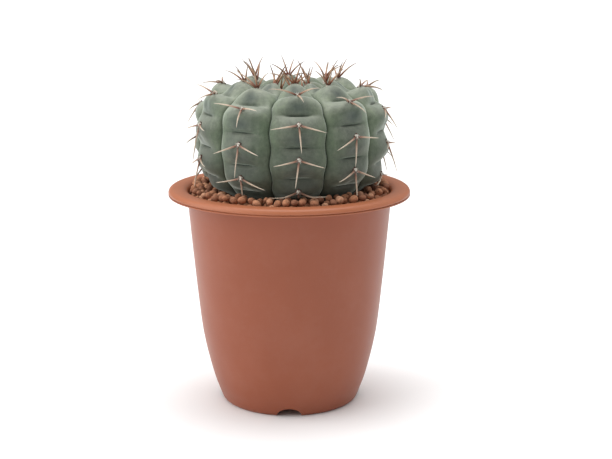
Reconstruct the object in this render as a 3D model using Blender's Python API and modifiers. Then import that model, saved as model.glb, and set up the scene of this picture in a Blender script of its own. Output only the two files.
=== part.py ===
"""A potted chin cactus: a broad ribbed stem with spined areoles, its top dressing of clay
pebbles, the potting mix and a flared plastic pot. Metres, +Z up, origin on the ground at the
pot's axis. The front of the plant faces -Y."""

import math
import random

import bmesh
import bpy
import numpy as np
from mathutils import Matrix, Vector

MM = 0.001
GAP = 0.35 * MM

# Pot, as (radius, height) in millimetres where a list is given
RIM_RADIUS = 55 * MM
POT_HEIGHT = 99.6 * MM
WALL = 1.4 * MM
OUTER_WALL = [(46.6, 97.2), (44.2, 70), (41.2, 40), (39.4, 28), (37.1, 18), (34.9, 10), (33.1, 5),
              (32.0, 2), (31.2, 0.6), (30.4, 0)]
RIM_DEPTH = 3.5 * MM
FLOOR_UNDERSIDE = 4.6 * MM
FLOOR_TOP = 6.4 * MM
FOOT_WIDTH = 1.9 * MM
POT_SIDES = 48
SOIL_SIDES = 24
NOTCH_COUNT = 4
NOTCH_HALF_WIDTH = 5.6 * MM
NOTCH_HEIGHT = 3.9 * MM
DRAIN_COUNT = 6
DRAIN_RADIUS = 3.2 * MM
DRAIN_CIRCLE = 19 * MM

# Stem of the cactus
STEM_X = 1.0 * MM
STEM_MIDDLE = 121 * MM
STEM_RADIUS = 42.2 * MM
STEM_RISE = 24.2 * MM
STEM_DROP = 28.5 * MM
TOP_SQUARENESS = 4.0
BOTTOM_SQUARENESS = 2.6
CROWN_DIP = 5.0 * MM
CROWN_DIP_RADIUS = 13 * MM
RIBS = 10
FRONT_RIB = math.radians(-85.2)
RIB_CROWDING = math.radians(2.2)
COLUMNS_PER_RIB = 8
STEM_ROWS = 25
ROWS_END = math.radians(150)
ROWS_SHARE = 0.9
GROOVE_DEPTH = 2.6 * MM
GROOVE_WAVE = 0.009
CHIN_HEIGHT = 2.7 * MM
CROWN_CHIN_HEIGHT = 3.9 * MM
CROWN_FADE = 9 * MM
YOUNG_END = 46 * MM
YOUNG_FADE = 22 * MM
FURROW_DEPTH = 1.3 * MM
FURROW_PLACE = 0.67
RELIEF_END = 84 * MM
RELIEF_FADE = 8 * MM
ROOT_RADIUS = 5 * MM
ROOT_TIP = 79.5 * MM

# Areoles: how far each level stands from the crown along a rib, and how far each rib's areoles
# are moved down, in levels: by the same step from one rib to the next, as the plant spirals
AREOLE_ARC = [a * MM for a in (5, 16, 31, 43.8, 58.3, 72.3, 86)]
FRONT_STAGGER = 0.25
STAGGER_STEP = 0.4
LAST_AREOLE_ARC = 77 * MM
CROWN_SPINES_END = 30 * MM
YOUNG_SPINES_END = 42 * MM
SPINE_RADIUS = 0.45 * MM
SPINE_ROOT = 1.4 * MM
SPINE_CLEAR_HEIGHT = 101.8 * MM
# Each spine as (clock angle in degrees, 0 towards the crown and 180 down; lift off the skin
# in degrees; length in millimetres; how far its tip bends back to the skin in millimetres)
OLD_SPINES = ((-104, 24, 13.5, 3.0), (104, 24, 13.5, 3.0), (184, 20, 14.0, 1.5))
YOUNG_SPINES = ((-98, 38, 14.5, 5.5), (98, 38, 14.5, 5.5), (176, 38, 13.5, 4.5))
CROWN_SPINES = ((-95, 58, 15.5, 5.5), (95, 58, 15.5, 5.5), (205, 54, 16, 5.5), (155, 66, 14.5, 4.0))
BUD_SPINES = ((-80, 66, 11.5, 2.0), (100, 62, 12.5, 2.0))
SPINE_SEED = 7

# Gravel and potting mix
SOIL_TOP = 88 * MM
BED_TOP = 96.2 * MM
PEBBLE_RADIUS = 2.9 * MM
LEAST_PEBBLE = 1.5 * MM
PEBBLE_ROWS = (42.3 * MM, 37.4 * MM, 33.4 * MM)
PEBBLE_STAND = (0.9 * MM, 1.2 * MM, 0.1 * MM)
PEBBLE_SPACING = 6.3 * MM
PEBBLE_SEED = 5


def clear_scene():
    for obj in list(bpy.data.objects):
        bpy.data.objects.remove(obj)


def new_collection(name):
    made = bpy.data.collections.new(name)
    bpy.context.scene.collection.children.link(made)
    return made


def new_material(name, colour, roughness):
    made = bpy.data.materials.new(name)
    made.use_nodes = True
    shader = made.node_tree.nodes["Principled BSDF"]
    shader.inputs["Base Color"].default_value = (*colour, 1)
    shader.inputs["Roughness"].default_value = roughness
    shader.inputs["Metallic"].default_value = 0
    return made


def new_object(name, mesh, collection, material=None):
    made = bpy.data.objects.new(name, mesh)
    collection.objects.link(made)
    if material:
        mesh.materials.append(material)
    return made


def mesh_of(bm, name):
    mesh = bpy.data.meshes.new(name)
    bm.to_mesh(mesh)
    bm.free()
    return mesh


def turned(name, profile, collection, material=None, closed=False, sides=POT_SIDES):
    """A profile of (radius, height) spun round the Z axis. It runs down its outer side."""
    count = len(profile)
    edges = [(i, i + 1) for i in range(count - 1)]
    if closed:
        edges.append((count - 1, 0))
    mesh = bpy.data.meshes.new(name)
    mesh.from_pydata([(r, 0, z) for r, z in profile], edges, [])
    made = new_object(name, mesh, collection, material)
    screw = made.modifiers.new("Turn", "SCREW")
    screw.steps = screw.render_steps = sides
    screw.use_merge_vertices = True
    screw.merge_threshold = 0.00001
    return made


def apply_modifiers(obj):
    graph = bpy.context.evaluated_depsgraph_get()
    mesh = bpy.data.meshes.new_from_object(obj.evaluated_get(graph))
    obj.modifiers.clear()
    obj.data = mesh


def smooth(obj, angle=35):
    obj.data.shade_smooth()
    obj.data.set_sharp_from_angle(angle=math.radians(angle))


def cut(obj, cutter):
    boolean = obj.modifiers.new("Cut", "BOOLEAN")
    boolean.operation = "DIFFERENCE"
    boolean.object = cutter
    cutter.hide_render = True
    cutter.display_type = "WIRE"


def join_all(obj, pieces):
    """One union of the object with everything in a collection, which is then removed."""
    union = obj.modifiers.new("Join", "BOOLEAN")
    union.operation = "UNION"
    union.operand_type = "COLLECTION"
    union.collection = pieces
    union.solver = "EXACT"
    apply_modifiers(obj)
    for piece in list(pieces.objects):
        bpy.data.objects.remove(piece)
    bpy.data.collections.remove(pieces)
    keep_main_shell(obj)


def keep_main_shell(obj):
    """Drops the tiny loose scraps and sealed pockets that a union leaves where spines cross."""
    bm = bmesh.new()
    bm.from_mesh(obj.data)
    left = set(bm.verts)
    shells = []
    while left:
        shell = {left.pop()}
        edge = list(shell)
        while edge:
            near = {e.other_vert(v) for v in edge for e in v.link_edges} & left
            left -= near
            shell |= near
            edge = list(near)
        shells.append(shell)
    main = max(shells, key=len)
    bmesh.ops.delete(bm, geom=[v for v in bm.verts if v not in main], context="VERTS")
    bm.to_mesh(obj.data)
    bm.free()


def outer_wall_radius(z):
    heights = [h * MM for _, h in reversed(OUTER_WALL)]
    radii = [r * MM for r, _ in reversed(OUTER_WALL)]
    return float(np.interp(z, heights, radii))


def inner_wall_radius(z):
    return outer_wall_radius(z) - WALL


def pot_profile():
    """From the floor's top out and up the inside, over the rim, down the outside to the foot."""
    inside = [(0, FLOOR_TOP), (inner_wall_radius(FLOOR_TOP) - 2 * MM, FLOOR_TOP)]
    inside += [(inner_wall_radius(z * MM), z * MM) for z in (8.5, 18, 28, 40, 70, 94)]
    top = POT_HEIGHT
    rim = [(46.3 * MM, top - 1.8 * MM), (48.4 * MM, top - 0.2 * MM), (51.4 * MM, top),
           (53.8 * MM, top - 0.4 * MM), (RIM_RADIUS, top - 2.0 * MM), (54.8 * MM, top - RIM_DEPTH),
           (53.3 * MM, top - RIM_DEPTH), (53.1 * MM, top - 2.0 * MM), (48.4 * MM, top - 1.8 * MM)]
    outside = [(r * MM, z * MM) for r, z in OUTER_WALL]
    foot = OUTER_WALL[-1][0] * MM - FOOT_WIDTH
    under = [(foot, 0), (foot, FLOOR_UNDERSIDE), (0, FLOOR_UNDERSIDE)]
    return inside + rim + outside + under


def notch_cutter(collection):
    """Dome-shaped drainage notches through the foot, as one mesh of flat-bottomed half tubes."""
    bm = bmesh.new()
    reach = 8 * MM
    for i in range(NOTCH_COUNT):
        made = bmesh.ops.create_cone(bm, cap_ends=True, segments=20, radius1=1, radius2=1, depth=1)
        turn = Matrix.Rotation(-math.pi / 2 + i * math.tau / NOTCH_COUNT, 4, "Z")
        lie = Matrix.Rotation(math.pi / 2, 4, "Y")
        size = Matrix.Diagonal((reach, NOTCH_HALF_WIDTH, NOTCH_HEIGHT, 1))
        place = turn @ Matrix.Translation((OUTER_WALL[-1][0] * MM, 0, 0)) @ size @ lie
        bmesh.ops.transform(bm, matrix=place, verts=made["verts"])
    return new_object("notch_cutter", mesh_of(bm, "notch_cutter"), collection)


def drain_cutter(collection):
    bm = bmesh.new()
    for i in range(DRAIN_COUNT):
        angle = i * math.tau / DRAIN_COUNT
        place = Matrix.Translation((DRAIN_CIRCLE * math.cos(angle), DRAIN_CIRCLE * math.sin(angle),
                                    (FLOOR_UNDERSIDE + FLOOR_TOP) / 2))
        bmesh.ops.create_cone(bm, cap_ends=True, segments=12, radius1=DRAIN_RADIUS,
                              radius2=DRAIN_RADIUS, depth=6 * MM, matrix=place)
    return new_object("drain_cutter", mesh_of(bm, "drain_cutter"), collection)


def make_pot(collection, cutters, material):
    pot = turned("pot", pot_profile(), collection, material)
    cut(pot, notch_cutter(cutters))
    cut(pot, drain_cutter(cutters))
    apply_modifiers(pot)
    smooth(pot)
    return pot


def stem_point(phi):
    """(radius, height) of the stem's smooth form, phi running from the crown to the root."""
    s, c = math.sin(phi), math.cos(phi)
    n = TOP_SQUARENESS if c > 0 else BOTTOM_SQUARENESS
    rise = STEM_RISE if c > 0 else STEM_DROP
    t = (abs(s) ** n + abs(c) ** n) ** (-1 / n)
    radius = STEM_RADIUS * t * s
    dip = CROWN_DIP * math.exp(-((radius / CROWN_DIP_RADIUS) ** 2)) if c > 0 else 0
    return radius, STEM_MIDDLE + rise * t * c - dip


PHI_STEPS = np.linspace(0, math.pi, 721)
STEM_LINE = np.array([stem_point(p) for p in PHI_STEPS])
ARC_STEPS = np.concatenate([[0], np.cumsum(np.hypot(*np.diff(STEM_LINE, axis=0).T))])


def arc_of(phi):
    return float(np.interp(phi, PHI_STEPS, ARC_STEPS))


def phi_of(arc):
    return float(np.interp(arc, ARC_STEPS, PHI_STEPS))


def stem_normal(phi):
    """Outward direction of the smooth form as (radial, vertical)."""
    step = 0.01
    (r0, z0), (r1, z1) = stem_point(max(phi - step, 0)), stem_point(min(phi + step, math.pi))
    radial, vertical = -(z1 - z0), r1 - r0
    length = math.hypot(radial, vertical)
    return radial / length, vertical / length


def chin(f):
    """The tubercle's swell along a rib, from one areole at 0 to the next one down at 1."""
    return float(np.interp(f, (0, 0.08, 0.18, 0.3, 0.44, 0.56, 0.67, 0.75, 0.88, 1),
                           (0.7, 0.92, 1, 0.88, 0.45, -0.05, -0.4, -0.1, 0.35, 0.7)))


def level_of(arc):
    return float(np.interp(arc, AREOLE_ARC, range(len(AREOLE_ARC))))


def stagger(rib):
    return (FRONT_STAGGER + STAGGER_STEP * rib) % 1


def rib_angle(turn):
    """Bearing of a turn counted in ribs, 0.5 on the front rib. The front ribs stand closer."""
    around = (turn - 0.5) * math.tau / RIBS
    return FRONT_RIB + around - RIB_CROWDING * math.sin(around)


def groove_shift(turn, arc):
    """How far a groove sways towards the rib whose chin is in, in ribs."""
    across = 2 * (turn - math.floor(turn)) - 1
    left = int(math.floor(turn)) - (across < 0)
    level = level_of(arc) - FURROW_PLACE / 4
    sway = [math.cos(math.tau * (level - stagger(rib % RIBS))) for rib in (left, left + 1)]
    return GROOVE_WAVE * abs(across) ** 3 * (sway[0] - sway[1])


def relief(turn, arc):
    """How far the skin stands off the smooth form, for a turn counted in ribs from a groove."""
    rib = int(math.floor(turn)) % RIBS
    across = 2 * (turn - math.floor(turn)) - 1
    f = (level_of(arc) - stagger(rib)) % 1
    crown = min(arc / CROWN_FADE, 1)
    buried = min(max((RELIEF_END - arc) / RELIEF_FADE, 0), 1)
    young = min(max((YOUNG_END - arc) / YOUNG_FADE, 0), 1)
    middle = (1 - across * across) ** 1.25
    height = CHIN_HEIGHT + (CROWN_CHIN_HEIGHT - CHIN_HEIGHT) * young
    furrow = FURROW_DEPTH * math.exp(-(((f - FURROW_PLACE) / 0.05) ** 2) - (across / 0.42) ** 4)
    groove = GROOVE_DEPTH * (0.3 + 0.7 * buried) * (0.4 * abs(across) ** 3 + 0.6 * abs(across) ** 10)
    return crown * ((height * chin(f) * middle - furrow) * buried - groove)


def skin_point(turn, phi):
    """A point of the skin, round the stem's own axis."""
    radius, height = stem_point(phi)
    radial, vertical = stem_normal(phi)
    stand = relief(turn, arc_of(phi))
    angle = rib_angle(turn + groove_shift(turn, arc_of(phi)))
    radius += radial * stand
    return Vector((radius * math.cos(angle), radius * math.sin(angle), height + vertical * stand))


def gathered(turn):
    """Moves evenly spaced columns towards the grooves, where the form is sharpest."""
    across = 2 * (turn - math.floor(turn)) - 1
    across *= 1.25 - 0.25 * across * across
    return math.floor(turn) + (across + 1) / 2


def stem_mesh():
    bm = bmesh.new()
    bmesh.ops.create_uvsphere(bm, u_segments=RIBS * COLUMNS_PER_RIB, v_segments=STEM_ROWS, radius=1)
    for vert in bm.verts:
        share = math.acos(max(-1, min(1, vert.co.z))) / math.pi
        if share < ROWS_SHARE:
            phi = ROWS_END * share / ROWS_SHARE
        else:
            phi = ROWS_END + (math.pi - ROWS_END) * (share - ROWS_SHARE) / (1 - ROWS_SHARE)
        turn = (math.atan2(vert.co.y, vert.co.x) / math.tau * RIBS + 1e-6) % RIBS
        vert.co = skin_point(gathered(turn), phi)
    return mesh_of(bm, "cactus")


def areoles():
    """(rib, place in the rib counted from the crown, turn, distance from the crown)."""
    for rib in range(RIBS):
        for place in range(len(AREOLE_ARC)):
            level = place + stagger(rib)
            arc = float(np.interp(level, range(len(AREOLE_ARC)), AREOLE_ARC))
            if arc < LAST_AREOLE_ARC:
                yield rib, place, rib + 0.5, arc


def areole_frame(turn, arc):
    """(point on the skin, outward, towards the crown, to the right as seen from outside)."""
    phi = phi_of(arc)
    radial, vertical = stem_normal(phi)
    angle = rib_angle(turn)
    out = Vector((radial * math.cos(angle), radial * math.sin(angle), vertical))
    right = Vector((-math.sin(angle), math.cos(angle), 0))
    return skin_point(turn, phi), out, out.cross(right), right


def spine_mesh(start, aim, back, length, bend):
    """A three-sided cone bent along its path, kept clear of the gravel."""
    bm = bmesh.new()
    bmesh.ops.create_cone(bm, cap_ends=True, segments=3, radius1=SPINE_RADIUS, radius2=0, depth=1,
                          matrix=Matrix.Translation((0, 0, 0.5)))
    everything = bm.verts[:] + bm.edges[:] + bm.faces[:]
    bmesh.ops.bisect_plane(bm, geom=everything, plane_co=(0, 0, 0.5), plane_no=(0, 0, 1))
    side = aim.cross(back).normalized()
    face = side.cross(aim)
    for vert in bm.verts:
        t = vert.co.z
        middle = start + aim * (length * t - SPINE_ROOT * (1 - t)) - back * (bend * t * t)
        if t > 0.3:
            middle.z = max(middle.z, SPINE_CLEAR_HEIGHT)
        vert.co = middle + side * vert.co.x + face * vert.co.y
    return mesh_of(bm, "spine")


def spine_set(place, arc):
    if place == 0:
        return BUD_SPINES
    if arc < CROWN_SPINES_END:
        return CROWN_SPINES
    return YOUNG_SPINES if arc < YOUNG_SPINES_END else OLD_SPINES


def make_cactus(collection, material):
    draw = random.Random(SPINE_SEED)
    cactus = new_object("cactus", stem_mesh(), collection, material)
    grown = new_collection("grown")
    bm = bmesh.new()
    top = STEM_MIDDLE - STEM_DROP + 2 * MM
    bmesh.ops.create_cone(bm, cap_ends=True, segments=10, radius1=0.55 * ROOT_RADIUS,
                          radius2=ROOT_RADIUS, depth=top - ROOT_TIP,
                          matrix=Matrix.Translation((0, 0, (top + ROOT_TIP) / 2)))
    new_object("root", mesh_of(bm, "root"), grown)
    for rib, place, turn, arc in areoles():
        point, out, up, right = areole_frame(turn, arc)
        for clock, lift, length, bend in spine_set(place, arc):
            clock = math.radians(clock + draw.uniform(-9, 9))
            lift = math.radians(lift + draw.uniform(-6, 6))
            length *= MM * draw.uniform(0.85, 1.1)
            along = up * math.cos(clock) + right * math.sin(clock)
            aim = along * math.cos(lift) + out * math.sin(lift)
            new_object("spine", spine_mesh(point, aim, out, length, bend * MM), grown)
    join_all(cactus, grown)
    cactus.location = (STEM_X, 0, 0)
    smooth(cactus, 50)
    return cactus


def hollow_radius(z):
    """Radius of the stem's smooth form below its middle, at a height."""
    under = STEM_LINE[PHI_STEPS > math.pi / 2][::-1]
    return float(np.interp(z, under[:, 1], under[:, 0]))


def bowl_profile():
    """The gravel bed's hollow under the stem, from the root hole up to the bed's top."""
    spots = []
    for phi in np.radians((168, 160, 152, 144, 138, 132)):
        radius, height = stem_point(phi)
        radial, vertical = stem_normal(phi)
        spots.append((radius + radial * 2 * GAP + STEM_X, height + vertical * 2 * GAP))
    return [spot for spot in spots if spot[1] < BED_TOP - MM]


def make_gravel(collection, material):
    root_hole = ROOT_RADIUS + 4 * GAP
    bottom = SOIL_TOP + GAP
    first = stem_point(math.radians(176))[1] - 2 * GAP
    bowl = [(root_hole, bottom), (root_hole, first), *bowl_profile()]
    edge = hollow_radius(BED_TOP) + 3 * MM
    top = [(edge, BED_TOP), (inner_wall_radius(BED_TOP) - GAP, BED_TOP)]
    gravel = turned("gravel", bowl + top + [(inner_wall_radius(bottom) - GAP, bottom)],
                    collection, material, closed=True, sides=SOIL_SIDES)
    apply_modifiers(gravel)
    pebbles = new_collection("pebbles")
    draw = random.Random(PEBBLE_SEED)
    for row, (around, stand) in enumerate(zip(PEBBLE_ROWS, PEBBLE_STAND)):
        count = int(math.tau * around / PEBBLE_SPACING)
        for i in range(count):
            angle = (i + 0.5 * row + draw.uniform(-0.18, 0.18)) * math.tau / count
            mesh = pebble_mesh(draw, around, angle, BED_TOP + stand)
            if mesh:
                new_object("pebble", mesh, pebbles)
    join_all(gravel, pebbles)
    smooth(gravel, 40)
    return gravel


def pebble_mesh(draw, around, angle, height):
    """One rounded granule, made smaller where the stem or the wall leaves it less room."""
    around += draw.uniform(-0.35, 0.35) * MM
    height += draw.uniform(-0.5, 0.5) * MM
    size = PEBBLE_RADIUS * draw.uniform(0.88, 1.12)
    wall = inner_wall_radius(height) - GAP - around
    middle = around - STEM_X * math.cos(angle)
    stem = min(math.hypot(middle - r, height - z) for r, z in STEM_LINE[360:]) - 3 * GAP
    size = min(size, wall, stem)
    if size < LEAST_PEBBLE:
        return None
    shape = Matrix.Diagonal((size, size * draw.uniform(0.86, 1), size * draw.uniform(0.8, 1), 1))
    spin = Matrix.Rotation(draw.uniform(0, math.tau), 4, "Z")
    place = Matrix.Translation((around * math.cos(angle), around * math.sin(angle), height))
    bm = bmesh.new()
    bmesh.ops.create_uvsphere(bm, u_segments=5, v_segments=4, radius=1, matrix=place @ spin @ shape)
    return mesh_of(bm, "pebble")


def make_soil(collection, material):
    """The potting mix under the gravel, with a plain hole that the root stands in."""
    hole = ROOT_RADIUS + 4 * GAP
    floor = FLOOR_TOP + GAP
    sides = [(inner_wall_radius(z * MM) - GAP, z * MM) for z in (70, 40, 28, 18, 9.5)]
    profile = [(0, ROOT_TIP - GAP), (hole, ROOT_TIP - GAP), (hole, SOIL_TOP),
               (inner_wall_radius(SOIL_TOP) - GAP, SOIL_TOP), *sides,
               (inner_wall_radius(floor) - 4 * MM, floor), (0, floor)]
    soil = turned("potting_mix", profile, collection, material, sides=SOIL_SIDES)
    apply_modifiers(soil)
    smooth(soil)
    return soil


def main():
    clear_scene()
    plant = new_collection("chin cactus")
    cutters = new_collection("cutters")
    terracotta = new_material("pot plastic", (0.42, 0.155, 0.085), 0.5)
    skin = new_material("cactus skin", (0.11, 0.17, 0.115), 0.55)
    clay = new_material("clay pebbles", (0.36, 0.15, 0.08), 0.85)
    mix = new_material("potting mix", (0.06, 0.038, 0.025), 0.95)
    make_pot(plant, cutters, terracotta)
    make_soil(plant, mix)
    make_gravel(plant, clay)
    make_cactus(plant, skin)


main()
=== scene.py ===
import math
import random

import bmesh
import bpy
import numpy as np
from mathutils import Matrix, Vector


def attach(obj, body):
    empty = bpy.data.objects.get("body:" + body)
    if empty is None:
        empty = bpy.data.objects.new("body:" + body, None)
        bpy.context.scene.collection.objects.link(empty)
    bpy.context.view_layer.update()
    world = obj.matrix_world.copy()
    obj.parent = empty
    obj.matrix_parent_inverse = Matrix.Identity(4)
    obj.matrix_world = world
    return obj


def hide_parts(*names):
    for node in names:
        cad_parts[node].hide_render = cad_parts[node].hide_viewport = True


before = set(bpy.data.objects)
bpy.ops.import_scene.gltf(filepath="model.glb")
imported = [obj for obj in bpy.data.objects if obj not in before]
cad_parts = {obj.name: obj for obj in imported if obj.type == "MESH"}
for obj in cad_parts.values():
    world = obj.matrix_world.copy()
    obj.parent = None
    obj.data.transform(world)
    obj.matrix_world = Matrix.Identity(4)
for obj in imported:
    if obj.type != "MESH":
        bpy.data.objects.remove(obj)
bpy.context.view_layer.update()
mm = 0.001

# the stem's form follows the solid model's, in millimetres, degrees and shares of a step
stem = {
    "x": 1.0, "middle": 121, "radius": 42.2, "rise": 24.2, "drop": 28.5,
    "topSquareness": 4.0, "bottomSquareness": 2.6, "crownDip": 5.0, "crownDipRadius": 13,
    "ribs": 10, "frontRib": -85.2, "ribCrowding": 2.2, "grooveDepth": 2.6, "grooveWave": 0.009,
    "chinHeight": 2.7, "crownChin": 3.9, "crownFade": 9, "youngEnd": 46, "youngFade": 22,
    "furrowDepth": 1.3, "furrowPlace": 0.67, "furrowWidth": 0.032, "dimpleDepth": 0.7,
    "dimplePlace": 0.36, "reliefEnd": 84, "reliefFade": 8,
    "areoleArc": (5, 16, 31, 43.8, 58.3, 72.3, 86), "lastAreole": 77,
    "frontStagger": 0.25, "staggerStep": 0.4, "columns": 480, "rows": 190, "rowsEnd": 150,
    "outlineSteps": 720, "ageAndShadeStart": 33, "ageAndShadeSpan": 47,
}


def newMaterial(name, roughness=0.6, specular=0.4):
    material = bpy.data.materials.new(name)
    material.use_nodes = True
    shader = material.node_tree.nodes["Principled BSDF"]
    shader.inputs["Roughness"].default_value = roughness
    shader.inputs["Specular IOR Level"].default_value = specular
    return material, material.node_tree, shader


def addNode(tree, kind, inputs=None, **settings):
    node = tree.nodes.new(kind)
    for name, value in settings.items():
        setattr(node, name, value)
    for name, value in (inputs or {}).items():
        node.inputs[name].default_value = value
    return node


def noise(tree, coords, scale, detail=3, rough=0.5):
    made = addNode(tree, "ShaderNodeTexNoise", {"Scale": scale, "Detail": detail, "Roughness": rough})
    tree.links.new(coords, made.inputs["Vector"])
    return made.outputs["Fac"]


def ramp(tree, source, stops):
    made = tree.nodes.new("ShaderNodeValToRGB")
    while len(made.color_ramp.elements) < len(stops):
        made.color_ramp.elements.new(0.5)
    for element, (place, colour) in zip(made.color_ramp.elements, stops):
        element.position = place
        element.color = (*colour, 1)
    tree.links.new(source, made.inputs["Fac"])
    return made.outputs["Color"]


def mix(tree, factor, a, b, blend="MIX"):
    made = addNode(tree, "ShaderNodeMix", data_type="RGBA", blend_type=blend)
    for socket, value in ((made.inputs[0], factor), (made.inputs[6], a), (made.inputs[7], b)):
        if isinstance(value, (float, int)):
            socket.default_value = value
        elif isinstance(value, tuple):
            socket.default_value = (*value, 1)
        else:
            tree.links.new(value, socket)
    return made.outputs[2]


def bump(tree, shader, height, strength, distance):
    made = addNode(tree, "ShaderNodeBump", {"Strength": strength, "Distance": distance})
    tree.links.new(height, made.inputs["Height"])
    tree.links.new(made.outputs["Normal"], shader.inputs["Normal"])


def placeOf(tree):
    return tree.nodes.new("ShaderNodeTexCoord").outputs["Object"]


def attribute(tree, name):
    return addNode(tree, "ShaderNodeAttribute", attribute_name=name).outputs["Fac"]


def finishPiece(bm, name, material, replaced=None):
    mesh = bpy.data.meshes.new(name)
    bm.to_mesh(mesh)
    bm.free()
    return finishMesh(mesh, name, material, replaced)


def finishMesh(mesh, name, material, replaced=None):
    mesh.materials.append(material)
    mesh.shade_smooth()
    piece = bpy.data.objects.new(name, mesh)
    bpy.context.scene.collection.objects.link(piece)
    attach(piece, "root")
    if replaced:
        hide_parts(replaced)
    return piece


def pointValues(mesh, name, values):
    layer = mesh.attributes.new(name, "FLOAT", "POINT")
    layer.data.foreach_set("value", np.asarray(values, np.float32))


# the stem's smooth form, its ribs and chins
def stemPoint(phi):
    s, c = np.sin(phi), np.cos(phi)
    n = np.where(c > 0, stem["topSquareness"], stem["bottomSquareness"])
    rise = np.where(c > 0, stem["rise"], stem["drop"])
    t = (np.abs(s) ** n + np.abs(c) ** n) ** (-1 / n)
    radius = stem["radius"] * t * s
    dip = np.where(c > 0, stem["crownDip"] * np.exp(-((radius / stem["crownDipRadius"]) ** 2)), 0)
    return radius, stem["middle"] + rise * t * c - dip


phiSteps = np.linspace(0, math.pi, stem["outlineSteps"] + 1)
lineR, lineZ = stemPoint(phiSteps)
arcSteps = np.concatenate([[0], np.cumsum(np.hypot(np.diff(lineR), np.diff(lineZ)))])


def stemNormal(phi):
    r0, z0 = stemPoint(np.maximum(phi - 0.01, 0))
    r1, z1 = stemPoint(np.minimum(phi + 0.01, math.pi))
    length = np.hypot(r1 - r0, z1 - z0)
    return -(z1 - z0) / length, (r1 - r0) / length


def softSteps(x, places, values):
    # like a straight interpolation, with its corners rounded off
    return sum(np.interp(x + shift, places, values) * w
               for shift, w in ((-0.03, 0.25), (0, 0.5), (0.03, 0.25)))


# how far a rib stands out, from one areole (0) down to the next (1)
chinPlaces = (-0.25, -0.12, 0, 0.08, 0.18, 0.3, 0.44, 0.56, 0.67, 0.75, 0.88, 1, 1.08)
chinValues = (-0.1, 0.35, 0.7, 0.92, 1, 0.88, 0.45, -0.05, -0.4, -0.1, 0.35, 0.7, 0.92)


def levelOf(arc):
    return np.interp(arc, stem["areoleArc"], range(len(stem["areoleArc"])))


def staggerOf(rib):
    return (stem["frontStagger"] + stem["staggerStep"] * (rib % stem["ribs"])) % 1


def acrossOf(turn):
    return 2 * (turn - np.floor(turn)) - 1


def stepOf(turn, arc):
    # 0 at an areole, 1 at the next one down its rib
    return (levelOf(arc) - staggerOf(np.floor(turn))) % 1


def ribAngle(turn):
    around = (turn - 0.5) * math.tau / stem["ribs"]
    return math.radians(stem["frontRib"]) + around - math.radians(stem["ribCrowding"]) * np.sin(around)


def grooveShift(turn, arc):
    across = acrossOf(turn)
    left = np.floor(turn) - (across < 0)
    level = levelOf(arc) - stem["furrowPlace"] / 4
    sway = (np.cos(math.tau * (level - staggerOf(left)))
            - np.cos(math.tau * (level - staggerOf(left + 1))))
    return stem["grooveWave"] * np.abs(across) ** 3 * sway


def relief(turn, arc):
    across = acrossOf(turn)
    f = stepOf(turn, arc)
    crown = np.minimum(arc / stem["crownFade"], 1)
    buried = np.clip((stem["reliefEnd"] - arc) / stem["reliefFade"], 0, 1)
    young = np.clip((stem["youngEnd"] - arc) / stem["youngFade"], 0, 1)
    middle = (1 - across * across) ** 1.25
    height = stem["chinHeight"] + (stem["crownChin"] - stem["chinHeight"]) * young
    furrow = stem["furrowDepth"] * np.exp(-(((f - stem["furrowPlace"]) / stem["furrowWidth"]) ** 2)
                                          - (across / 0.42) ** 4)
    dimple = stem["dimpleDepth"] * np.exp(-(((f - stem["dimplePlace"]) / 0.15) ** 2)
                                          - (across / 0.2) ** 2)
    valley = 0.4 * np.abs(across) ** 3 + 0.3 * np.abs(across) ** 10 + 0.3 * np.abs(across) ** 40
    groove = stem["grooveDepth"] * (0.3 + 0.7 * buried) * valley
    swell = softSteps(f, chinPlaces, chinValues)
    return crown * ((height * swell * middle - furrow - dimple) * buried - groove)


def skinPoints(turn, phi):
    turn = turn % stem["ribs"]
    radius, height = stemPoint(phi)
    radial, vertical = stemNormal(phi)
    arc = np.interp(phi, phiSteps, arcSteps)
    stand = relief(turn, arc)
    angle = ribAngle(turn + grooveShift(turn, arc))
    radius = radius + radial * stand
    return np.stack([radius * np.cos(angle) + stem["x"], radius * np.sin(angle),
                     height + vertical * stand], -1) * mm


def areoles():
    for rib in range(stem["ribs"]):
        for place in range(len(stem["areoleArc"])):
            level = place + staggerOf(rib)
            arc = float(np.interp(level, range(len(stem["areoleArc"])), stem["areoleArc"]))
            if arc < stem["lastAreole"]:
                yield place, rib + 0.5, arc


def areoleFrame(turn, arc):
    phi = np.interp(arc, arcSteps, phiSteps)
    radial, vertical = (float(v) for v in stemNormal(phi))
    angle = float(ribAngle(turn))
    out = Vector((radial * math.cos(angle), radial * math.sin(angle), vertical))
    right = Vector((-math.sin(angle), math.cos(angle), 0))
    point = Vector(skinPoints(np.array([turn]), np.array([phi]))[0])
    return point, out, out.cross(right), right


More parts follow.
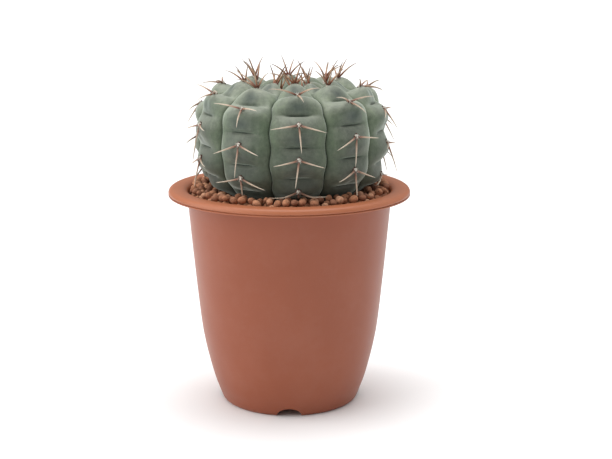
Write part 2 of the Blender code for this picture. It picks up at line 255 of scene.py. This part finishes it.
def skinMaterial():
    material, tree, shader = newMaterial("grey green skin", 0.55, 0.3)
    shader.inputs["Sheen Weight"].default_value = 0.7
    shader.inputs["Sheen Roughness"].default_value = 0.4
    shader.inputs["Sheen Tint"].default_value = (0.9, 1, 0.88, 1)
    place = placeOf(tree)
    flank = ramp(tree, noise(tree, place, 60, 4, 0.6), (
        (0.3, (0.084, 0.127, 0.069)), (0.5, (0.112, 0.163, 0.092)), (0.72, (0.147, 0.19, 0.116))))
    slate = ramp(tree, noise(tree, place, 45, 4, 0.6), (
        (0.3, (0.067, 0.098, 0.067)), (0.52, (0.1, 0.132, 0.092)), (0.72, (0.138, 0.162, 0.119))))
    base = mix(tree, attribute(tree, "flank"), slate, flank)
    mauve = ramp(tree, noise(tree, place, 32, 3), ((0.5, (0, 0, 0)), (0.68, (0.3, 0.3, 0.3))))
    blush = mix(tree, mauve, base, (0.135, 0.105, 0.1))
    drawnOut = addNode(tree, "ShaderNodeMapping", {"Scale": (1, 1, 0.1)})
    tree.links.new(place, drawnOut.inputs["Vector"])
    streaks = ramp(tree, noise(tree, drawnOut.outputs["Vector"], 420, 3, 0.6),
                   ((0.5, (0, 0, 0)), (0.75, (0.25, 0.25, 0.25))))
    streaked = mix(tree, streaks, blush, (0.24, 0.27, 0.21))
    # a pale bloom with painted top light, thickest on the shoulders that face up
    facing = tree.nodes.new("ShaderNodeSeparateXYZ")
    tree.links.new(tree.nodes.new("ShaderNodeNewGeometry").outputs["Normal"], facing.inputs[0])
    upwardLightAndBloom = addNode(tree, "ShaderNodeMapRange", {"From Min": 0.05, "From Max": 0.9, "To Min": 0.08,
                                                  "To Max": 0.85})
    tree.links.new(facing.outputs["Z"], upwardLightAndBloom.inputs["Value"])
    bloomAndTopLightMask = addNode(tree, "ShaderNodeMath", operation="MULTIPLY")
    tree.links.new(upwardLightAndBloom.outputs["Result"], bloomAndTopLightMask.inputs[0])
    cloud = addNode(tree, "ShaderNodeMapRange", {"From Min": 0.3, "From Max": 0.6, "To Min": 0.4})
    tree.links.new(noise(tree, place, 90, 5, 0.65), cloud.inputs["Value"])
    tree.links.new(cloud.outputs["Result"], bloomAndTopLightMask.inputs[1])
    bloomAndTopLight = mix(tree, bloomAndTopLightMask.outputs[0], streaked, (0.29, 0.31, 0.25))
    # painted shade in the hollow under each areole's chin
    paintedChinShade = mix(tree, attribute(tree, "paintedChinShade"), bloomAndTopLight, (0.035, 0.05, 0.05))
    # older skin and painted shade: darker down the lower stem
    agedAndShaded = mix(tree, attribute(tree, "agedAndShaded"), paintedChinShade, (0.038, 0.043, 0.034))
    # painted shade along the grooves and the creases between tubercles
    creaseShaded = mix(tree, attribute(tree, "groove"), agedAndShaded, (0.014, 0.03, 0.018))
    mottle = ramp(tree, noise(tree, place, 320, 6, 0.75), ((0.32, (0.72, 0.74, 0.72)), (0.5, (1, 1, 1)),
                                                         (0.68, (1.25, 1.25, 1.2))))
    tree.links.new(mix(tree, 1.0, creaseShaded, mottle, "MULTIPLY"), shader.inputs["Base Color"])
    bump(tree, shader, noise(tree, place, 900, 4, 0.6), 0.25, 0.0003)
    return material


def makeStem():
    # a round ball of faces, each point then moved on to the skin
    bm = bmesh.new()
    bmesh.ops.create_uvsphere(bm, u_segments=stem["columns"], v_segments=stem["rows"], radius=1)
    mesh = bpy.data.meshes.new("cactusStem")
    bm.to_mesh(mesh)
    bm.free()
    co = np.zeros(len(mesh.vertices) * 3)
    mesh.vertices.foreach_get("co", co)
    co = co.reshape(-1, 3)
    # most of the rows lie above rowsEnd, where the stem shows
    share = np.arccos(np.clip(co[:, 2], -1, 1)) / math.pi
    end = math.radians(stem["rowsEnd"])
    phi = np.where(share < 0.9, end * share / 0.9, end + (math.pi - end) * (share - 0.9) / 0.1)
    # nudged, so that the points of a groove all belong to the same rib
    turn = (np.arctan2(co[:, 1], co[:, 0]) / math.tau * stem["ribs"] + 1e-6) % stem["ribs"]
    across = acrossOf(turn)
    across *= 1.4 - 0.4 * across * across  # the columns stand closer together at the grooves
    turn = np.floor(turn) + (across + 1) / 2
    points = skinPoints(turn, phi)
    mesh.vertices.foreach_set("co", points.ravel())
    arc = np.interp(phi, phiSteps, arcSteps)
    f = stepOf(turn, arc)
    # where the painted shade of the grooves and creases lies
    crease = np.exp(-(((f - stem["furrowPlace"]) / 0.02) ** 2) - (across / 0.4) ** 4)
    pointValues(mesh, "groove", np.clip(0.65 * np.exp(-((1 - np.abs(across)) / 0.02) ** 2)
                                        + 0.7 * crease, 0, 1))
    pointValues(mesh, "flank", np.clip((np.abs(across) - 0.35) / 0.45, 0, 1))
    # where the painted shade under each chin lies, below the areole
    shade = np.exp(-(((f - 0.42) / 0.16) ** 2) - (across / 0.3) ** 2)
    pointValues(mesh, "paintedChinShade", np.clip(0.7 * shade, 0, 1))
    # older skin and painted shade, growing down the stem
    pointValues(mesh, "agedAndShaded", 0.85 * np.clip((arc - stem["ageAndShadeStart"]) / stem["ageAndShadeSpan"], 0, 1))
    mesh.update()
    return finishMesh(mesh, "cactusStem", skinMaterial(), "cactus")


spines = {
    # clock angle, lift, length and bend of each spine at an areole
    "old": ((-104, 24, 13.5, 3.0), (104, 24, 13.5, 3.0), (184, 20, 14.0, 1.5)),
    "young": ((-98, 38, 14.5, 5.5), (98, 38, 14.5, 5.5), (176, 38, 13.5, 4.5)),
    "crown": ((-95, 58, 15.5, 5.5), (95, 58, 15.5, 5.5), (205, 54, 16, 5.5), (155, 66, 14.5, 4.0)),
    "bud": ((-80, 66, 11.5, 2.0), (100, 62, 12.5, 2.0)),
    "crownEnd": 30, "youngEnd": 42, "redEnd": 40, "redFade": 20,
    "clockWander": 9, "liftWander": 6, "lengths": (0.85, 1.1), "seed": 7,
    "radius": 0.5, "root": 1.4, "clear": 101.8, "clearFrom": 0.3, "sides": 8, "rings": 14,
}


def spineSet(place, arc):
    if place == 0:
        return spines["bud"]
    if arc < spines["crownEnd"]:
        return spines["crown"]
    return spines["young"] if arc < spines["youngEnd"] else spines["old"]


def spineMaterial():
    material, tree, shader = newMaterial("horny spine", 0.45, 0.4)
    along = attribute(tree, "along")
    young = attribute(tree, "young")
    oldTint = ramp(tree, along, ((0.13, (0.07, 0.025, 0.018)), (0.26, (0.3, 0.16, 0.11)),
                                 (0.5, (0.56, 0.44, 0.33)), (1.0, (0.74, 0.66, 0.53))))
    youngTint = ramp(tree, along, ((0.12, (0.09, 0.014, 0.01)), (0.3, (0.28, 0.095, 0.045)),
                                   (0.5, (0.5, 0.31, 0.19)), (0.75, (0.26, 0.15, 0.1)),
                                   (1.0, (0.05, 0.035, 0.035))))
    tinted = mix(tree, young, oldTint, youngTint)
    speckle = noise(tree, placeOf(tree), 700, 3)
    tree.links.new(mix(tree, ramp(tree, speckle, ((0.35, (0, 0, 0)), (0.8, (0.4, 0.4, 0.4)))),
                       tinted, (0.2, 0.12, 0.08)), shader.inputs["Base Color"])
    bump(tree, shader, speckle, 0.3, 0.0002)
    return material


def makeSpines():
    draw = random.Random(spines["seed"])
    rings, sides = spines["rings"], spines["sides"]
    points, faces, alongs, youngs = [], [], [], []
    for place, turn, arc in areoles():
        point, out, up, right = areoleFrame(turn, arc)
        for clock, lift, length, bend in spineSet(place, arc):
            clock = math.radians(clock + draw.uniform(-spines["clockWander"], spines["clockWander"]))
            lift = math.radians(lift + draw.uniform(-spines["liftWander"], spines["liftWander"]))
            length *= draw.uniform(*spines["lengths"])
            direction = up * math.cos(clock) + right * math.sin(clock)
            aim = direction * math.cos(lift) + out * math.sin(lift)
            side = aim.cross(out).normalized()
            face = side.cross(aim)
            first = len(points)
            for ring in range(rings + 1):
                t = ring / rings
                middle = (point + aim * ((length * t - spines["root"] * (1 - t)) * mm)
                          - out * (bend * t * t * mm))
                if t > spines["clearFrom"]:
                    middle.z = max(middle.z, spines["clear"] * mm)  # bent clear of the pebbles
                width = spines["radius"] * (1 - t) ** 0.6 * mm
                count = sides if ring < rings else 1
                for i in range(count):
                    a = math.tau * i / sides
                    points.append(middle + (side * math.cos(a) + face * math.sin(a)) * width)
                    alongs.append(t)
                    youngs.append(min(max((spines["redEnd"] - arc) / spines["redFade"], 0), 1))
            for ring in range(rings - 1):
                for i in range(sides):
                    a = first + ring * sides + i
                    b = first + ring * sides + (i + 1) % sides
                    faces.append((a, b, b + sides, a + sides))
            tip = first + rings * sides
            for i in range(sides):
                a = first + (rings - 1) * sides + i
                b = first + (rings - 1) * sides + (i + 1) % sides
                faces.append((a, b, tip))
            faces.append(tuple(first + i for i in reversed(range(sides))))
    mesh = bpy.data.meshes.new("spines")
    mesh.from_pydata(points, [], faces)
    pointValues(mesh, "along", alongs)
    pointValues(mesh, "young", youngs)
    return finishMesh(mesh, "spines", spineMaterial())


wool = {
    "seed": 21, "crownEnd": 30, "crownSize": 1.0, "size": 0.85, "padShape": (1, 1.2, 0.75),
    "felt": (-0.12, 0.2), "hairs": 60, "hairLengths": (0.7, 1.5), "hairWidth": 0.05,
}


def woolMaterial():
    material, tree, shader = newMaterial("areole wool", 0.95, 0.1)
    shader.inputs["Sheen Weight"].default_value = 0.4
    place = placeOf(tree)
    tree.links.new(ramp(tree, noise(tree, place, 1500, 3), ((0.3, (0.5, 0.43, 0.33)),
                                                          (0.65, (0.85, 0.82, 0.74)))),
                   shader.inputs["Base Color"])
    bump(tree, shader, noise(tree, place, 3000, 3), 0.8, 0.0004)
    return material


def makeWool():
    # a felted pad with short hairs at each areole
    draw = random.Random(wool["seed"])
    bm = bmesh.new()
    for _, turn, arc in areoles():
        point, out, up, right = areoleFrame(turn, arc)
        turned = Matrix((right, up, out)).transposed().to_4x4()
        size = (wool["crownSize"] if arc < wool["crownEnd"] else wool["size"]) * mm
        shape = Matrix.Diagonal([size * share for share in wool["padShape"]] + [1])
        made = bmesh.ops.create_icosphere(bm, subdivisions=3, radius=1,
                                          matrix=Matrix.Translation(point) @ turned @ shape)
        for vert in made["verts"]:
            vert.co += (vert.co - point).normalized() * draw.uniform(*wool["felt"]) * mm
        for _ in range(wool["hairs"]):
            a, r = draw.uniform(0, math.tau), draw.uniform(0, 1) ** 0.5
            across = right * math.cos(a) + up * math.sin(a)
            foot = point + across * (r * size) + out * (0.35 * size)
            aim = (out * draw.uniform(0.5, 1.2) + across * draw.uniform(0.1, 1.1)).normalized()
            hair(bm, foot, aim, draw.uniform(*wool["hairLengths"]) * mm, wool["hairWidth"] * mm)
    return finishPiece(bm, "areoleWool", woolMaterial())


def hair(bm, foot, aim, length, width):
    side = aim.orthogonal().normalized()
    face = aim.cross(side)
    low = [bm.verts.new(foot + (side * math.cos(a) + face * math.sin(a)) * width)
           for a in (0, math.tau / 3, math.tau * 2 / 3)]
    tip = bm.verts.new(foot + aim * length)
    bm.faces.new(reversed(low))
    for i in range(3):
        bm.faces.new((low[i], low[(i + 1) % 3], tip))


gravel = {
    "bed": 96.2, "inner": 31, "outer": 45.6, "top": 102.2, "stemGap": 0.4, "crowd": 2.5,
    "count": 900, "tries": 14, "sizes": (1.5, 2.2), "sink": 0.4, "packing": 0.92, "seed": 5,
    "dentWaves": 2.6, "dentDepth": 0.05, "shrink": 0.04,
}


def stemDistance(x, y, z):
    middle = math.hypot(x - stem["x"], y)
    low = stem["outlineSteps"] // 2
    return float(np.min(np.hypot(lineR[low:] - middle, lineZ[low:] - z)))


def clayMaterial():
    material, tree, shader = newMaterial("fired clay", 0.85, 0.25)
    place = placeOf(tree)
    own = attribute(tree, "own")
    body = ramp(tree, own, ((0.0, (0.28, 0.13, 0.082)), (0.35, (0.42, 0.19, 0.107)),
                            (0.7, (0.55, 0.255, 0.14)), (1.0, (0.62, 0.34, 0.21))))
    pits = ramp(tree, noise(tree, place, 500, 5, 0.7), ((0.36, (0.6, 0.6, 0.6)), (0.5, (0, 0, 0))))
    tree.links.new(mix(tree, pits, body, (0.07, 0.032, 0.022)), shader.inputs["Base Color"])
    bump(tree, shader, noise(tree, place, 900, 5, 0.7), 0.6, 0.0005)
    return material


def dropPebbles(draw):
    # each pebble takes the lowest free place that it finds in a few tries
    placed = np.zeros((0, 4))
    for _ in range(gravel["count"]):
        size = draw.uniform(*gravel["sizes"])
        best = None
        for _ in range(gravel["tries"]):
            a = draw.uniform(0, math.tau)
            r = math.sqrt(draw.uniform(gravel["inner"] ** 2, (gravel["outer"] + gravel["crowd"]) ** 2))
            r = min(r, gravel["outer"] - size)  # those drawn too far out lie against the wall
            x, y = r * math.cos(a), r * math.sin(a)
            z = gravel["bed"] + gravel["sink"] * size
            if len(placed):
                flat = np.hypot(placed[:, 0] - x, placed[:, 1] - y)
                reach = (placed[:, 3] + size) * gravel["packing"]
                near = flat < reach
                if near.any():
                    z = max(z, float(np.max(placed[near, 2]
                                            + np.sqrt(reach[near] ** 2 - flat[near] ** 2))))
            if stemDistance(x, y, z) < size + gravel["stemGap"] or z + size > gravel["top"]:
                continue
            if best is None or z < best[2]:
                best = (x, y, z, size)
        if best:
            placed = np.vstack([placed, best])
    return placed


def makeGravel():
    draw = random.Random(gravel["seed"])
    placed = dropPebbles(draw)
    bm = bmesh.new()
    layer = bm.verts.layers.float.new("own")
    for x, y, z, size in placed:
        spin = Matrix.Rotation(draw.uniform(0, math.tau), 4, "Z") @ Matrix.Rotation(
            draw.uniform(0, math.tau), 4, "X")
        shape = Matrix.Diagonal((size * mm, size * draw.uniform(0.84, 1) * mm,
                                 size * draw.uniform(0.8, 1) * mm, 1))
        made = bmesh.ops.create_icosphere(bm, subdivisions=3, radius=1,
                                          matrix=Matrix.Translation(Vector((x, y, z)) * mm)
                                          @ spin @ shape)
        centre = Vector((x, y, z)) * mm
        waves = [Vector([draw.uniform(-1, 1) for _ in range(3)]) * gravel["dentWaves"]
                 for _ in range(3)]
        tone = draw.random()
        for vert in made["verts"]:
            away = (vert.co - centre) / (size * mm)
            dent = sum(math.sin(away.dot(w) + 3 * w.x) for w in waves) * gravel["dentDepth"]
            vert.co = centre + (vert.co - centre) * (1 + dent - gravel["shrink"])
            vert[layer] = tone
    print("pebbles:", len(placed))
    return finishPiece(bm, "clayPebbles", clayMaterial(), "gravel")


def makeBed():
    # the dusty layer that the pebbles lie on, with a hole for the root
    material, tree, shader = newMaterial("dusty bed", 0.95, 0.1)
    place = placeOf(tree)
    tree.links.new(ramp(tree, noise(tree, place, 260, 5, 0.7), ((0.35, (0.03, 0.016, 0.011)),
                                                              (0.7, (0.11, 0.05, 0.03)))),
                   shader.inputs["Base Color"])
    bump(tree, shader, noise(tree, place, 600, 4), 0.6, 0.0006)
    bm = bmesh.new()
    # (radius, height) up the hole, out over the top and down the wall
    spots = [(5.9, 88.4), (5.9, 92), (24, 93.2), (30, 94.6), (33, gravel["bed"]),
             (45.5, gravel["bed"]), (44.6, 94), (43.9, 88.4)]
    made = [bm.verts.new((r * mm, 0, z * mm)) for r, z in spots]
    edges = [bm.edges.new((made[i], made[(i + 1) % len(made)])) for i in range(len(made))]
    bmesh.ops.spin(bm, geom=made + edges, cent=(0, 0, 0), axis=(0, 0, 1), angle=math.tau,
                   steps=96, use_merge=True)
    bmesh.ops.recalc_face_normals(bm, faces=bm.faces)
    return finishPiece(bm, "gravelBed", material)


pot = {
    # (radius, height) down the outside, from under the lip to the ground
    "outside": ((46.6, 97.2), (44.2, 70), (41.2, 40), (39.4, 28), (37.1, 18), (34.9, 10), (33.1, 5),
                (32.0, 2), (31.2, 0.6), (30.4, 0)),
    "wall": 1.4, "top": 99.6, "rim": 55, "lip": 3.5, "floorTop": 6.4, "floorUnder": 4.6,
    "foot": 1.9, "steps": 192, "notches": 4, "notchHalf": 5.6, "notchHeight": 3.9,
    "cutDepth": 8, "drains": 6, "drainRadius": 3.2, "drainCircle": 19,
}


def potInside(z):
    heights = [h for _, h in reversed(pot["outside"])]
    radii = [r for r, _ in reversed(pot["outside"])]
    return float(np.interp(z, heights, radii)) - pot["wall"]


def smoothLine(points, parts):
    # a rounded line through the points, by Catmull and Rom's rule
    line = []
    for i in range(len(points) - 1):
        a = np.array(points[max(i - 1, 0)], float)
        b, c = (np.array(points[i + k], float) for k in (0, 1))
        d = np.array(points[min(i + 2, len(points) - 1)], float)
        for step in range(parts):
            t = step / parts
            line.append(tuple(0.5 * (2 * b + (c - a) * t + (2 * a - 5 * b + 4 * c - d) * t * t
                                     + (3 * b - a - 3 * c + d) * t ** 3)))
    return line + [tuple(points[-1])]


def potProfile():
    top, lip, rim = pot["top"], pot["lip"], pot["rim"]
    low = pot["floorTop"]
    inside = [(0, low), (15, low), (potInside(low) - 4, low), (potInside(low) - 1.6, low + 0.4)]
    inside += smoothLine([(potInside(z), z) for z in (8.5, 10, 18, 28, 40, 70, 94)], 4)
    crest = smoothLine([(46.0, top - 3), (46.3, top - 1.8), (47.1, top - 0.8), (48.4, top - 0.2),
                        (50, top), (51.4, top), (52.8, top - 0.12), (53.8, top - 0.4),
                        (54.6, top - 1.05), (rim, top - 2.0)], 3)
    edge = [(rim, top - 2.3), (54.9, top - 2.48), (54.55, top - 2.6), (54.5, top - 2.74),
            (54.75, top - 2.92), (54.98, top - 3.06), (54.98, top - 3.25), (54.8, top - lip),
            (53.5, top - lip), (53.3, top - lip + 0.15), (53.1, top - 2.0), (48.4, top - 1.8),
            (47.2, top - 2.0)]
    outside = smoothLine(pot["outside"], 5)
    foot = pot["outside"][-1][0] - pot["foot"]
    under = [(foot + 0.3, 0), (foot, 0.3), (foot, pot["floorUnder"] - 0.4),
             (foot - 0.5, pot["floorUnder"]), (10, pot["floorUnder"]), (0, pot["floorUnder"])]
    return inside + crest + edge + outside + under


def plasticMaterial():
    # painted top light on the lip, faint blotches and rubbed dust
    material, tree, shader = newMaterial("terracotta plastic", 0.42, 0.35)
    place = placeOf(tree)
    height = tree.nodes.new("ShaderNodeSeparateXYZ")
    tree.links.new(place, height.inputs[0])
    base = ramp(tree, noise(tree, place, 18, 3), ((0.3, (0.272, 0.073, 0.034)),
                                                  (0.7, (0.304, 0.084, 0.039))))
    # painted top light: from 94 mm up, the lip is painted lighter and more orange
    lipPaintedLight = addNode(tree, "ShaderNodeMapRange", {"From Min": 0.094, "From Max": 0.098})
    tree.links.new(height.outputs["Z"], lipPaintedLight.inputs["Value"])
    tinted = mix(tree, lipPaintedLight.outputs["Result"], base, (0.4, 0.135, 0.062))
    dust = ramp(tree, noise(tree, place, 40, 6, 0.75), ((0.45, (0, 0, 0)),
                                                        (0.85, (0.16, 0.16, 0.16))))
    tree.links.new(mix(tree, dust, tinted, (0.42, 0.2, 0.15)), shader.inputs["Base Color"])
    rub = addNode(tree, "ShaderNodeMapRange", {"To Min": 0.34, "To Max": 0.46})
    tree.links.new(noise(tree, place, 60, 4), rub.inputs["Value"])
    tree.links.new(rub.outputs["Result"], shader.inputs["Roughness"])
    bump(tree, shader, noise(tree, place, 1400, 3), 0.1, 0.0002)
    return material


def potCutter():
    # the arched notches of the foot and the drain holes of the floor
    footRadius = pot["outside"][-1][0] * mm
    bm = bmesh.new()
    for i in range(pot["notches"]):
        turn = Matrix.Rotation(-math.pi / 2 + i * math.tau / pot["notches"], 4, "Z")
        size = Matrix.Diagonal((pot["cutDepth"] * mm, pot["notchHalf"] * mm,
                                pot["notchHeight"] * mm, 1))
        lie = Matrix.Rotation(math.pi / 2, 4, "Y")
        bmesh.ops.create_cone(bm, cap_ends=True, segments=64, radius1=1, radius2=1, depth=1,
                              matrix=turn @ Matrix.Translation((footRadius, 0, 0)) @ size @ lie)
    for i in range(pot["drains"]):
        angle = i * math.tau / pot["drains"]
        spot = Vector((pot["drainCircle"] * math.cos(angle), pot["drainCircle"] * math.sin(angle),
                       (pot["floorTop"] + pot["floorUnder"]) / 2)) * mm
        bmesh.ops.create_cone(bm, cap_ends=True, segments=40, radius1=pot["drainRadius"] * mm,
                              radius2=pot["drainRadius"] * mm, depth=6 * mm,
                              matrix=Matrix.Translation(spot))
    mesh = bpy.data.meshes.new("potCutter")
    bm.to_mesh(mesh)
    bm.free()
    cutter = bpy.data.objects.new("potCutter", mesh)
    bpy.context.scene.collection.objects.link(cutter)
    return cutter


def makePot():
    line = potProfile()
    mesh = bpy.data.meshes.new("mouldedPot")
    mesh.from_pydata([(r * mm, 0, z * mm) for r, z in line],
                     [(i, i + 1) for i in range(len(line) - 1)], [])
    turned = bpy.data.objects.new("mouldedPot", mesh)
    bpy.context.scene.collection.objects.link(turned)
    screw = turned.modifiers.new("turn", "SCREW")
    screw.steps = screw.render_steps = pot["steps"]
    screw.use_merge_vertices = True
    screw.merge_threshold = 0.00001
    cutter = potCutter()
    opening = turned.modifiers.new("openings", "BOOLEAN")
    opening.operation = "DIFFERENCE"
    opening.object = cutter
    made = bpy.data.meshes.new_from_object(
        turned.evaluated_get(bpy.context.evaluated_depsgraph_get()))
    bpy.data.objects.remove(turned)
    bpy.data.objects.remove(cutter)
    made.name = "mouldedPot"
    piece = finishMesh(made, "mouldedPot", plasticMaterial(), "pot")
    made.set_sharp_from_angle(angle=math.radians(40))
    return piece


def dressSoil():
    soilMaterial, tree, shader = newMaterial("potting mix", 0.95, 0.1)
    place = placeOf(tree)
    tree.links.new(ramp(tree, noise(tree, place, 300, 6, 0.7), ((0.3, (0.012, 0.008, 0.005)),
                                                              (0.6, (0.05, 0.03, 0.018)),
                                                              (0.75, (0.12, 0.08, 0.05)))),
                   shader.inputs["Base Color"])
    bump(tree, shader, noise(tree, place, 500, 5, 0.7), 0.9, 0.001)
    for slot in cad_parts["potting_mix"].material_slots:
        slot.material = soilMaterial


studio = {
    "focal": 76.47, "distance": 0.5972, "elevation": 12.5, "target": (0.00755, 0, 0.079),
    # name, place, power and spread of each lamp
    "lamps": (("key", (-0.95, -0.2, 0.6), 1.7, 60), ("fill", (0.95, 0.2, 0.7), 0.38, 60),
              ("top", (0, 0.1, 1.0), 2.3, 50)),
    "floorRadius": 6, "lowLight": 0.14, "highLight": 0.6, "backdrop": 1.0,
}


def makeFloor():
    material, _, shader = newMaterial("pale floor", 0.7, 0.2)
    shader.inputs["Base Color"].default_value = (0.95, 0.95, 0.95, 1)
    bm = bmesh.new()
    bmesh.ops.create_circle(bm, cap_ends=True, segments=64, radius=studio["floorRadius"])
    mesh = bpy.data.meshes.new("floor")
    bm.to_mesh(mesh)
    bm.free()
    mesh.materials.append(material)
    floor = bpy.data.objects.new("floor", mesh)
    bpy.context.scene.collection.objects.link(floor)


def makeRoom():
    # the backdrop is seen white, while the room gives most of its light from above
    world = bpy.data.worlds.new("studio")
    bpy.context.scene.world = world
    world.use_nodes = True
    tree = world.node_tree
    sky = tree.nodes["Background"]
    sky.inputs["Color"].default_value = (1, 1, 1, 1)
    direction = tree.nodes.new("ShaderNodeSeparateXYZ")
    tree.links.new(tree.nodes.new("ShaderNodeTexCoord").outputs["Generated"], direction.inputs[0])
    room = addNode(tree, "ShaderNodeMapRange", {"From Min": -0.2, "To Min": studio["lowLight"],
                                                "To Max": studio["highLight"]})
    tree.links.new(direction.outputs["Z"], room.inputs["Value"])
    seen = addNode(tree, "ShaderNodeMix", {"B": studio["backdrop"]}, data_type="FLOAT")
    tree.links.new(tree.nodes.new("ShaderNodeLightPath").outputs["Is Camera Ray"], seen.inputs["Factor"])
    tree.links.new(room.outputs["Result"], seen.inputs["A"])
    tree.links.new(seen.outputs["Result"], sky.inputs["Strength"])
    bpy.context.scene.view_settings.view_transform = "Standard"


def makeLamps():
    for name, place, power, spread in studio["lamps"]:
        lamp = bpy.data.lights.new(name, "SUN")
        lamp.energy = power
        lamp.angle = math.radians(spread)
        made = bpy.data.objects.new(name, lamp)
        bpy.context.scene.collection.objects.link(made)
        made.location = place
        made.rotation_euler = (Vector((0, 0, 0.1)) - made.location).to_track_quat("-Z", "Y").to_euler()


def makeCamera():
    camera = bpy.data.cameras.new("camera")
    camera.lens = studio["focal"]
    camera.sensor_width = 36
    camera.clip_start = 0.01
    made = bpy.data.objects.new("camera", camera)
    bpy.context.scene.collection.objects.link(made)
    tilt = math.radians(studio["elevation"])
    target = Vector(studio["target"])
    made.location = target + Vector((0, -math.cos(tilt), math.sin(tilt))) * studio["distance"]
    made.rotation_euler = (math.radians(90) - tilt, 0, 0)
    bpy.context.scene.camera = made


makePot()
dressSoil()
print("pot made, potting mix dressed")
makeStem()
print("stem made")
makeSpines()
print("spines made")
makeWool()
print("wool made")
makeBed()
makeGravel()
print("gravel made")
makeFloor()
makeRoom()
makeLamps()
makeCamera()
print("studio made")
